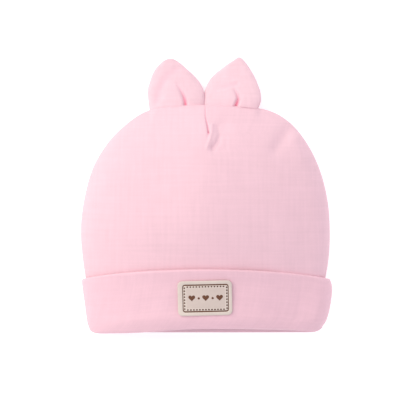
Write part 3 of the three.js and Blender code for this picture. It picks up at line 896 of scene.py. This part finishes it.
class HAT_OT_crown(bpy.types.Operator):
    """Makes the crown: a hollow jersey dome with its front dart"""

    bl_idname = "baby_hat.crown"
    bl_label = "Crown"

    def execute(self, context):
        cloth_settings = context.scene.baby_hat.cloth
        material = jersey_material(cloth_settings, "cotton_jersey", cloth_settings.colour)
        outside, crease_shade = crown_outside()
        inside = crown_inside()
        rows, around = outside.shape[:2]
        inner_rows, inner_around = inside.shape[:2]
        points = with_tips(outside, inside)
        inner_first = (rows - 1) * around
        top = (rows - 2) * around
        inner_top = inner_first + (inner_rows - 1) * inner_around
        faces = grid_faces(rows - 1, around)
        faces += grid_faces(inner_rows, inner_around, inner_first, flip=True)
        faces += fan(top, around, len(points) - 2)
        faces += fan(inner_top, inner_around, len(points) - 1, flip=True)
        faces += ring_strip(outside[0], inside[0], 0, inner_first)
        cloth = with_tips(
            cloth_places(outside, CROWN_GRID["front"] // 2, CROWN_GRID["front"]),
            cloth_places(inside, INSIDE_GRID["front"] // 2, INSIDE_GRID["front"]),
        )
        creases = np.zeros(len(points))
        creases[:inner_first] = crease_shade[:-1].ravel()
        piece = add_piece("crown_cloth", points, faces, material, cloth, creases)
        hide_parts("crown")
        return {"FINISHED"}


def towards_front(angle):
    """How far an angle points towards the front: 1 at its middle, 0 at the sides."""
    return np.maximum(np.sin(angle), 0)


def rim_height(angle):
    """Where the rim's fold lies, above the rim line."""
    cosine = np.cos(angle)
    power = np.where(cosine < 0, RIM_POWER_LEFT, RIM_POWER_RIGHT)
    corner = np.where(cosine < 0, RIM_CORNER_LEFT, RIM_CORNER_RIGHT)
    dip = np.where(cosine < 0, RIM_DIP_LEFT, 0) * np.abs(cosine) ** DIP_POWER
    arch = RIM_ARCH * towards_front(angle) ** power
    behind = RIM_DIP_BACK * np.maximum(-np.sin(angle), 0) ** 0.5
    return arch + corner * np.abs(cosine) ** CORNER_POWER - dip - behind


def cuff_leg(angle):
    """Heights where the turned-up leg's straight part starts, and of its free edge."""
    start = rim_height(angle) + WALL + FOLD_GAP / 2
    return start, CUFF_HEIGHT + CUFF_ARCH * towards_front(angle) ** ARCH_POWER


def cuff_stand_off(angle, up):
    """How far the turned-up leg stands off the crown, at a share of its way up."""
    row = curve(CUFF_ROWS, row_number(CUFF_ROWS, up))
    sine = np.sin(angle)
    side = np.where(np.cos(angle) < 0, row["left"], row["right"])
    front = side + (row["front"] - side) * sine
    under = side * np.maximum(1 + sine, 0) ** FLARE_POWER
    return FOLD_GAP + CUFF_FLARE * np.where(sine > 0, front, under)


# The seam's edge inside the hat, turned up over the crown: insets from the cuff's inner face and
# heights above the seam
SEAM_ALLOWANCE = [
    (0.3, 0.4), (0.3, 2.0), (0.35, 3.9), (0.8, 4.3), (1.3, 3.9), (1.4, 2.0), (1.4, 0.6), (1.1, -0.3),
]


def wave_share(share):
    """How much of the soft waves the turned-up leg takes, most at its middle."""
    return 4 * share * (1 - share) + share * EDGE_WAVE


def cuff_places(angle):
    """The cuff's closed profile: each place is an inset into the body, a height above the rim
    line, the lowest that the surface below allows, and how much it takes part in soft waves."""
    seam = CUFF_SEAM - SEAM_GAP
    start, top = cuff_leg(angle)
    fold_radius = WALL + FOLD_GAP / 2
    under = WALL + FOLD_GAP
    even = 0 * angle
    places = []

    def add(inset, height, floor, wave=0.0, share=0.0):
        places.append((inset + even, height + even, floor + even, wave + even, share + even))

    for inset, rise in SEAM_ALLOWANCE:
        add(WALL + inset, seam + rise, under + WALL + inset)
    for share in np.linspace(INNER_START, 1, CUFF_STEPS["inner"])[:-1]:
        add(WALL, seam + (start - seam) * share, under + WALL)
    for turn in np.linspace(0, math.pi, CUFF_STEPS["fold"]):
        floor = (under + WALL) * (1 - turn / math.pi)
        add(fold_radius * math.cos(turn) - FOLD_GAP / 2, start - fold_radius * np.sin(turn), floor)
    straight = top - WALL / 2
    even_steps = np.linspace(0, 1, CUFF_STEPS["leg"])
    closer_at_ends = even_steps - 0.1 * np.sin(2 * math.pi * even_steps)
    for share in closer_at_ends[1:]:
        inset = -cuff_stand_off(angle, share) - WALL
        add(inset, start + (straight - start) * share, 0, wave_share(share), share)
    at_edge = cuff_stand_off(angle, 1.0)
    for turn in np.linspace(0, math.pi, CUFF_STEPS["edge"])[1:-1]:
        inset = -at_edge - WALL / 2 - WALL / 2 * math.cos(turn)
        floor = WALL / 2 - WALL / 2 * math.cos(turn)
        height = straight + WALL / 2 * np.sin(turn)
        add(inset, height, floor, EDGE_WAVE, 1 - turn / math.pi / 2)
    for share in np.linspace(1, 0, CUFF_STEPS["under"])[:-1]:
        height = start + (straight - start) * share
        add(-cuff_stand_off(angle, share), height, WALL, wave_share(share))
    for turn in np.linspace(math.pi, 0, CUFF_STEPS["crease_shade"]):
        inset = FOLD_GAP / 2 * math.cos(turn) - FOLD_GAP / 2
        add(inset, start - FOLD_GAP / 2 * np.sin(turn), WALL + FOLD_GAP / 2 * (1 + math.cos(turn)))
    for share in np.linspace(1, 0, CUFF_STEPS["outer"])[1:]:
        add(0, seam + (start - seam) * share, under)
    return [np.stack(column) for column in zip(*places)]


def cuff_relief(x, y, share):
    """Height of the cuff's lip, its hem and its broad folds at a share of its way up."""
    below = (1 - share) * CUFF_HEIGHT
    lip = CUFF_LIP * np.exp(-((below / CUFF_LIP_WIDTH) ** 2))
    lip = lip + CUFF_HEM * np.exp(-((below / CUFF_HEM_WIDTH) ** 2))
    folds = line_height(CUFF_FOLDS, x, y) * np.minimum(share * FOLD_GROWTH, 1)
    return lip + np.maximum(folds, DEEPEST_FOLD)


class HAT_OT_cuff(bpy.types.Operator):
    """Makes the cuff: a doubled band, folded at the rim and turned up outside"""

    bl_idname = "baby_hat.cuff"
    bl_label = "Cuff"

    def execute(self, context):
        cloth_settings = context.scene.baby_hat.cloth
        material = jersey_material(cloth_settings, "doubled_jersey", cloth_settings.doubled)
        angle = section_angles(CUFF_GRID)
        inset, height, floor, wave, share = cuff_places(angle)
        row = body_at(height)
        x, _, z = section_points(row, angle[None, :], inset, inset, floor)
        points = np.stack([x, height, z], axis=-1)
        waves = soft_waves(points, CUFF_WAVES)
        over = np.clip(np.sin(angle), 0, 1)[None, :] ** 0.5
        relief = np.where(share > 0, cuff_relief(x, height, share), 0)
        rim = line_height(RIM_FOLDS, x, height)
        points[..., 2] += (waves * wave + relief + rim) * over
        around = running_length(np.concatenate([points, points[:, :1]], axis=1), axis=1)
        along = running_length(points, axis=0)
        cloth = np.stack([around[:, :-1], along, 0 * along], axis=-1)
        rows, columns = points.shape[:2]
        faces = (np.array(grid_faces(rows + 1, columns)) % (rows * columns)).tolist()
        piece = add_piece(
            "cuff_cloth", points.reshape(-1, 3), faces, material, cloth.reshape(-1, 3)
        )
        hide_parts("cuff")
        return {"FINISHED"}


def top_seam(x):
    """Height above the rim line, and above the surface, of the top seam over a given x."""
    t = np.linspace(3, len(BODY_ROWS) - 1, 4001)
    row = curve(BODY_ROWS, t)
    height = np.zeros_like(x)
    lift = np.zeros_like(x)
    for side, here in (("left", x < 0), ("right", x >= 0)):
        order = np.argsort(row[side])
        at = np.interp(np.abs(x) / HALF_WIDTH, row[side][order], t[order])
        found = curve(BODY_ROWS, at)
        height = np.where(here, found["up"] * CROWN_HEIGHT, height)
        lift = np.where(here, found["side"] * SIDE, lift)
    return height, lift


def ear_points(side, lean, rows):
    """An ear as rings from the top seam to the tip, over the front face and back under, and how deep in its
    pleat and folds each point of the front lies, which sets its painted crease shade."""
    turn = 2 * math.pi * np.arange(EAR_GRID["around"]) / EAR_GRID["around"]
    t = (np.linspace(0, 1, EAR_GRID["rows"]) ** EAR_GRID["power"]) * (len(rows) - 1)
    row = {column: values[:, None] for column, values in curve(rows, t).items()}
    up = row["up"]
    form = curve(EAR_FORM, row_number(EAR_FORM, np.clip(up, 0, 1)))
    across = np.cos(turn)[None, :]
    front = np.sin(turn)[None, :] >= 0
    middle = (row["inner"] + row["outer"]) / 2
    half = (row["outer"] - row["inner"]) / 2
    share = middle + half * across
    x = side * (EAR_GAP / 2 + share * EAR_WIDTH)
    seam_height, seam_lift = top_seam(x)
    at_seam = np.clip(1 - up, 0, 1) ** SEAM_BLEND
    sag = (CROWN_HEIGHT - seam_height) * at_seam
    y = CROWN_HEIGHT + up * EAR_HEIGHT - sag - SEAM_TUCK * at_seam
    from_edge = 1 - np.abs(across) ** EAR_FULLNESS
    tip = np.sqrt(np.clip((len(rows) - 1 - t[:, None]) * TIP_BLUNTNESS, 0, 1))
    thinning = TIP_THICKNESS + (1 - TIP_THICKNESS) * tip
    thickness = EAR_WALL * np.sqrt(np.maximum(from_edge, 0)) * thinning
    lobe = EAR_PUFF * form["lobe"] * np.sin(math.pi * (1 + across) / 2) ** LOBE_ROUNDNESS
    away = (share - row["pleat"]) * EAR_WIDTH
    pleat = PLEAT_DEPTH * form["pleat"] * np.exp(-((away / PLEAT_WIDTH) ** 2))
    z = seam_lift + (EAR_TIP_HEIGHT - seam_lift) * form["droop"] + lobe - pleat
    leaning = EAR_LEAN * (1 - up) + lean * 4 * up * (1 - up)
    z = z + leaning * side * (share - EAR_LEVEL)
    z = z + np.where(front, 0.5, -0.5) * thickness
    relief = line_height(EAR_FOLDS, x + 0 * z, y + 0 * z) * np.maximum(from_edge, 0) * tip
    z = z + np.where(front, relief, 0)
    # Painted shade: the deeper the front lies in a fold, the more crease colour it takes
    crease_shade = np.where(front, np.clip(-relief / CREASE_DEPTH, 0, 1) ** 2, 0)
    return np.stack([x + 0 * z, y + 0 * z, z], axis=-1), crease_shade


class HAT_OT_ears(bpy.types.Operator):
    """Makes the two ears, pleated where they are set into the top seam"""

    bl_idname = "baby_hat.ears"
    bl_label = "Ears"

    def execute(self, context):
        cloth_settings = context.scene.baby_hat.cloth
        # Painted light: the ears' jersey is a lighter copy of the crown's
        material = jersey_material(cloth_settings, "ear_jersey", cloth_settings.ears)
        for name, ear in EARS.items():
            points, crease_shade = ear_points(ear["side"], ear["lean"], ear["rows"])
            points[..., 2] += soft_waves(points, EAR_WAVES)
            places, faces = closed_rings(points, flip=ear["side"] < 0)
            creases = np.concatenate([crease_shade.ravel(), [0, 0]])
            piece = add_piece(name + "_cloth", places, faces, material, places, creases)
            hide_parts(name)
        return {"FINISHED"}


def cuff_face(x, y):
    """The height of the cuff's outer face over the points (x, y), with its soft waves."""
    row = body_at(y)
    share = np.where(x < 0, row["left"], row["right"])
    angle = np.arccos(np.clip(x / (share * HALF_WIDTH), -1, 1))
    start, top = cuff_leg(angle)
    up = np.clip((y - start) / (top - WALL / 2 - start), 0, 1)
    out = -cuff_stand_off(angle, up) - WALL
    face = section_points(row, angle, 0, out, 0)[2]
    return face + cuff_relief(x, y, up) + line_height(RIM_FOLDS, x, y)


def patch_place(across, up, lift):
    """Points over the cuff's face from places on the flat patch, turned as the patch is."""
    x = across * math.cos(PATCH_TURN) - up * math.sin(PATCH_TURN)
    y = PATCH_MIDDLE + across * math.sin(PATCH_TURN) + up * math.cos(PATCH_TURN)
    return np.stack([x, y, cuff_face(x, y) + SEAM_GAP + lift], axis=-1)


def round_rectangle(half_width, half_height, corner, count):
    """Points evenly around a rectangle with round corners, anticlockwise from its right side."""
    corner = min(corner, half_width, half_height)
    flat_x, flat_y = half_width - corner, half_height - corner
    arc = corner * math.pi / 2
    sides = [2 * flat_y, arc, 2 * flat_x, arc, 2 * flat_y, arc, 2 * flat_x, arc]
    ends = np.cumsum(sides)
    points = []
    for at in np.arange(count) / count * ends[-1]:
        k = int(np.searchsorted(ends, at, side="right"))
        s = at - (ends[k - 1] if k else 0)
        quarter, turning = divmod(k, 2)
        turn = math.pi / 2 * quarter
        if turning:
            bend = turn + (s / arc) * math.pi / 2 if arc else turn
            cx = flat_x if quarter in (0, 3) else -flat_x
            cy = flat_y if quarter in (0, 1) else -flat_y
            points.append((cx + corner * math.cos(bend), cy + corner * math.sin(bend)))
        elif quarter == 0:
            points.append((half_width, -flat_y + s))
        elif quarter == 1:
            points.append((flat_x - s, half_height))
        elif quarter == 2:
            points.append((-half_width, flat_y - s))
        else:
            points.append((-flat_x + s, -half_height))
    return np.array(points)


# The patch's rings from its underside over the edge and the frame to its field. in_x and in_y are
# insets from its outline, round the corner's radius, lift a height and shift a move to the right.
PATCH_RINGS = [
    {"in_x": 0.9, "in_y": 0.9, "round": 2.4, "lift": 0.0, "shift": 0},
    {"in_x": 0.3, "in_y": 0.3, "round": 2.9, "lift": 0.02, "shift": 0},
    {"in_x": 0.06, "in_y": 0.06, "round": 3.15, "lift": 0.2, "shift": 0},
    {"in_x": 0.0, "in_y": 0.0, "round": 3.2, "lift": 0.5, "shift": 0},
    {"in_x": 0.05, "in_y": 0.05, "round": 3.15, "lift": 0.85, "shift": 0},
    {"in_x": 0.25, "in_y": 0.25, "round": 3.0, "lift": 1.08, "shift": 0},
    {"in_x": 0.6, "in_y": 0.6, "round": 2.7, "lift": 1.2, "shift": 0.05},
    {"in_x": 1.4, "in_y": 1.2, "round": 2.3, "lift": 1.25, "shift": 0.25},
    {"in_x": 2.3, "in_y": 1.95, "round": 1.9, "lift": 1.22, "shift": 0.45},
    {"in_x": 2.8, "in_y": 2.4, "round": 1.75, "lift": 1.16, "shift": 0.5},
    {"in_x": 2.87, "in_y": 2.44, "round": 1.7, "lift": 0.95, "shift": 0.5},
    {"in_x": 3.05, "in_y": 2.8, "round": 1.5, "lift": 0.9, "shift": 0.5},
    {"in_x": 3.25, "in_y": 3.2, "round": 1.2, "lift": 0.92, "shift": 0.5},
    {"in_x": 3.34, "in_y": 3.28, "round": 1.1, "lift": 1.06, "shift": 0.5},
    {"in_x": 4.1, "in_y": 3.8, "round": 0.9, "lift": 1.1, "shift": 0.5},
    {"in_x": 5.3, "in_y": 5.0, "round": 0.6, "lift": 1.1, "shift": 0.5},
]
FRAME_RINGS = (9, 13)
FIELD_RING = 16

# How small the first ring of the underside and the rings inside the field are
UNDERSIDE_RING = 0.5
FIELD_SHARES = np.linspace(1, 0.02, 14)[1:]

# The stitches inside the frame, in two rows and two columns
STITCH_LENGTH = 1.25
STITCH_RADIUS = 0.5
STITCH_SINK = 0.05
STITCH_FLATNESS = 0.55
STITCH_SIDES = 12
STITCH_STEPS = 9
STITCH_ROWS = {"number": 13, "out": 7.8}
STITCH_COLUMNS = {"number": 8, "out": 14.35}

# A plain motif across the field: shapes, their places along it and their sizes
MOTIF = [
    {"shape": "heart", "at": -9.4, "size": 4.6},
    {"shape": "dot", "at": -4.7, "size": 1.5},
    {"shape": "heart", "at": 0.0, "size": 4.6},
    {"shape": "dot", "at": 4.7, "size": 1.5},
    {"shape": "heart", "at": 9.4, "size": 4.6},
]

# The rings of a shape's raised top: their share of its size and their height above the field
MOTIF_RINGS = [(1.0, -0.04), (1.0, 0.06), (0.92, 0.11), (0.6, 0.12), (0.25, 0.12)]


def patch_ring(ring, share):
    """A ring of the patch at a share of its size."""
    half_x = PATCH_WIDTH / 2 - ring["in_x"]
    half_y = PATCH_HEIGHT / 2 - ring["in_y"]
    corner = ring["round"] * share
    outline = round_rectangle(half_x * share, half_y * share, corner, PATCH_AROUND)
    return patch_place(outline[:, 0] + ring["shift"], outline[:, 1], ring["lift"])


def motif_outline(shape, count=56):
    """The outline of a heart or a dot, one unit wide, anticlockwise. The heart is a sum of waves
    that is 32 units wide, moved up by 2.5 of them to its middle."""
    turn = 2 * math.pi * np.arange(count) / count
    if shape == "dot":
        return np.stack([np.cos(turn), np.sin(turn)], axis=-1) / 2
    lobes = 13 * np.cos(turn) - 5 * np.cos(2 * turn) - 2 * np.cos(3 * turn) - np.cos(4 * turn)
    heart = np.stack([-16 * np.sin(turn) ** 3, lobes + 2.5], axis=-1)
    return heart / 32


class HAT_OT_patch(bpy.types.Operator):
    """Makes the leather patch: its pressed frame, its stitches and its motif"""

    bl_idname = "baby_hat.patch"
    bl_label = "Patch"

    def execute(self, context):
        settings = context.scene.baby_hat.patch
        leather = leather_material("cream_leather", settings.leather)
        inside = leather_material("pressed_leather", settings.inside)
        mark = leather_material("burnt_mark", settings.mark)
        thread = leather_material("brown_thread", settings.thread)
        rings = [patch_ring(PATCH_RINGS[0], UNDERSIDE_RING)]
        rings += [patch_ring(ring, 1) for ring in PATCH_RINGS]
        rings += [patch_ring(PATCH_RINGS[-1], share) for share in FIELD_SHARES]
        points, faces = closed_rings(np.stack(rings))
        piece = add_piece("patch_leather", points, faces, leather)
        piece.data.materials.append(inside)
        piece.data.materials.append(mark)
        ring_of = [k // PATCH_AROUND for k in range(PATCH_AROUND * (len(rings) - 1))]
        ring_of += [0] * PATCH_AROUND + [len(rings) - 1] * PATCH_AROUND
        for face, ring in zip(piece.data.polygons, ring_of):
            if FRAME_RINGS[0] < ring <= FRAME_RINGS[1]:
                face.material_index = 2
            elif ring >= FIELD_RING:
                face.material_index = 1
        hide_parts("patch")
        self.stitches(thread)
        self.motif(mark)
        return {"FINISHED"}

    def stitches(self, thread):
        """The two rows and two columns of short stitches inside the frame."""
        field = PATCH_RINGS[-1]
        pitch = bpy.context.scene.baby_hat.patch.stitch_pitch
        places = []
        for line, turned in ((STITCH_ROWS, False), (STITCH_COLUMNS, True)):
            for k in range(line["number"]):
                at = (k - (line["number"] - 1) / 2) * pitch
                for out in (-line["out"], line["out"]):
                    places.append((out, at, turned) if turned else (at, out, turned))
        turn = 2 * math.pi * np.arange(STITCH_SIDES) / STITCH_SIDES
        points, faces = [], []
        for across, up, turned in places:
            first = len(points)
            for s in np.linspace(-1, 1, STITCH_STEPS):
                radius = STITCH_RADIUS * math.sqrt(max(1 - s**4, 0.02))
                along = s * STITCH_LENGTH / 2
                beside = radius * np.cos(turn)
                dx, dy = (-beside, along) if turned else (along, beside)
                lift = field["lift"] - STITCH_SINK + STITCH_FLATNESS * radius * np.sin(turn)
                x = across + dx + field["shift"] + 0 * beside
                points.extend(patch_place(x, up + dy + 0 * beside, lift).tolist())
            faces += plugged_rings(STITCH_STEPS, STITCH_SIDES, first)
        add_piece("patch_stitches", np.array(points), faces, thread)

    def motif(self, mark):
        """Low printed hearts and dots on the field."""
        field = PATCH_RINGS[-1]
        points, faces = [], []
        for row in MOTIF:
            outline = motif_outline(row["shape"]) * row["size"]
            count = len(outline)
            first = len(points)
            for share, lift in MOTIF_RINGS:
                x = row["at"] + field["shift"] + outline[:, 0] * share
                points.extend(patch_place(x, outline[:, 1] * share, field["lift"] + lift).tolist())
            faces += plugged_rings(len(MOTIF_RINGS), count, first)
        add_piece("patch_motif", np.array(points), faces, mark)


# The floor's second colour, mixed in very weakly, and the width of each soft light in metres
FLOOR_DRIFT = (0.93, 0.93, 0.93, 1)
SOFT_LIGHT_SIZE = 1.6


class HAT_OT_stage(bpy.types.Operator):
    """Makes the floor, the soft studio light and the camera"""

    bl_idname = "baby_hat.stage"
    bl_label = "Stage"

    def execute(self, context):
        settings = context.scene.baby_hat.stage
        self.floor(settings)
        self.lights(settings)
        self.camera(settings)
        context.scene.view_settings.view_transform = "Standard"
        return {"FINISHED"}

    def floor(self, settings):
        """A wide pale floor, finely uneven."""
        half = 3.0
        mesh = bpy.data.meshes.new("floor")
        corners = [(-half, -half, 0), (half, -half, 0), (half, half, 0), (-half, half, 0)]
        mesh.from_pydata(corners, [], [(0, 1, 2, 3)])
        floor = bpy.data.objects.new("floor", mesh)
        bpy.context.collection.objects.link(floor)
        material, shader, principled = new_material("pale_floor")
        place = shader.node("ShaderNodeTexCoord").outputs["Object"]
        drift = shader.math("MULTIPLY", shader.noise(place, 3.0), 0.02)
        colour = shader.mix(drift, (*settings.floor, 1), FLOOR_DRIFT)
        shader.join(principled.inputs["Base Color"], colour)
        principled.inputs["Roughness"].default_value = 0.9
        principled.inputs["Specular IOR Level"].default_value = 0.1
        principled.inputs["Emission Color"].default_value = (1, 1, 1, 1)
        principled.inputs["Emission Strength"].default_value = settings.glow
        mesh.materials.append(material)

    def lights(self, settings):
        """A large soft light from the upper left, a weaker one from the right, and light all round."""
        self.soft_light("key_light", settings.key, (-1.15, 0.62, 1.2), (1.0, 0.975, 0.84))
        self.soft_light("side_light", settings.side, (1.5, 0.05, 0.55), (1.0, 0.99, 0.96))
        world = bpy.data.worlds.new("studio")
        world.use_nodes = True
        backdrop = world.node_tree.nodes["Background"]
        backdrop.inputs["Color"].default_value = (0.985, 0.985, 1.06, 1)
        backdrop.inputs["Strength"].default_value = settings.fill
        bpy.context.scene.world = world

    def soft_light(self, name, power, place, colour):
        """A round soft light that looks at the hat."""
        light = bpy.data.objects.new(name, bpy.data.lights.new(name, "AREA"))
        light.data.shape = "DISK"
        light.data.size = SOFT_LIGHT_SIZE
        light.data.energy = power
        light.data.color = colour
        light.location = place
        light.rotation_euler = light.location.to_track_quat("Z", "Y").to_euler()
        bpy.context.collection.objects.link(light)

    def camera(self, settings):
        """The camera looks straight down at the hat, as the photograph does. scale is the
        millimetres in one of its pixels, and middle_px where the rim line's middle lies in it."""
        photo_size = 416
        scale = 0.69
        middle_px = (205.0, 332.6)
        photo_middle = photo_size / 2
        side_height = SIDE * MM
        camera = bpy.data.objects.new("camera", bpy.data.cameras.new("camera"))
        camera.data.sensor_width = 36.0
        seen = photo_size * scale * MM
        camera.data.lens = camera.data.sensor_width * (settings.distance - side_height) / seen
        camera.location = (
            (MIDDLE_X + (photo_middle - middle_px[0]) * scale) * MM,
            (RIM_Y + (middle_px[1] - photo_middle) * scale) * MM,
            settings.distance,
        )
        camera.data.clip_end = 20
        bpy.context.collection.objects.link(camera)
        bpy.context.scene.camera = camera


OPERATORS = [HAT_OT_crown, HAT_OT_cuff, HAT_OT_ears, HAT_OT_patch, HAT_OT_stage]


class HAT_PT_panel(bpy.types.Panel):
    """The hat's settings and pieces."""

    bl_label = "Baby hat"
    bl_idname = "HAT_PT_panel"
    bl_space_type = "VIEW_3D"
    bl_region_type = "UI"
    bl_category = "Baby hat"

    def draw(self, context):
        settings = context.scene.baby_hat
        for group in (settings.cloth, settings.patch, settings.stage):
            box = self.layout.box()
            for name in group.__annotations__:
                box.prop(group, name)
        for operator in OPERATORS:
            self.layout.operator(operator.bl_idname)


CLASSES = [
    HatClothSettings,
    HatPatchSettings,
    HatStageSettings,
    HatSettings,
    *OPERATORS,
    HAT_PT_panel,
]


def register():
    """Adds the classes and the scene's settings."""
    for cls in CLASSES:
        bpy.utils.register_class(cls)
    bpy.types.Scene.baby_hat = bpy.props.PointerProperty(type=HatSettings)


def unregister():
    """Takes the classes and the settings away again."""
    del bpy.types.Scene.baby_hat
    for cls in reversed(CLASSES):
        bpy.utils.unregister_class(cls)


def main():
    """Makes every piece in order."""
    register()
    bpy.ops.baby_hat.crown()
    bpy.ops.baby_hat.cuff()
    bpy.ops.baby_hat.ears()
    bpy.ops.baby_hat.patch()
    bpy.ops.baby_hat.stage()


if __name__ == "__main__":
    main()
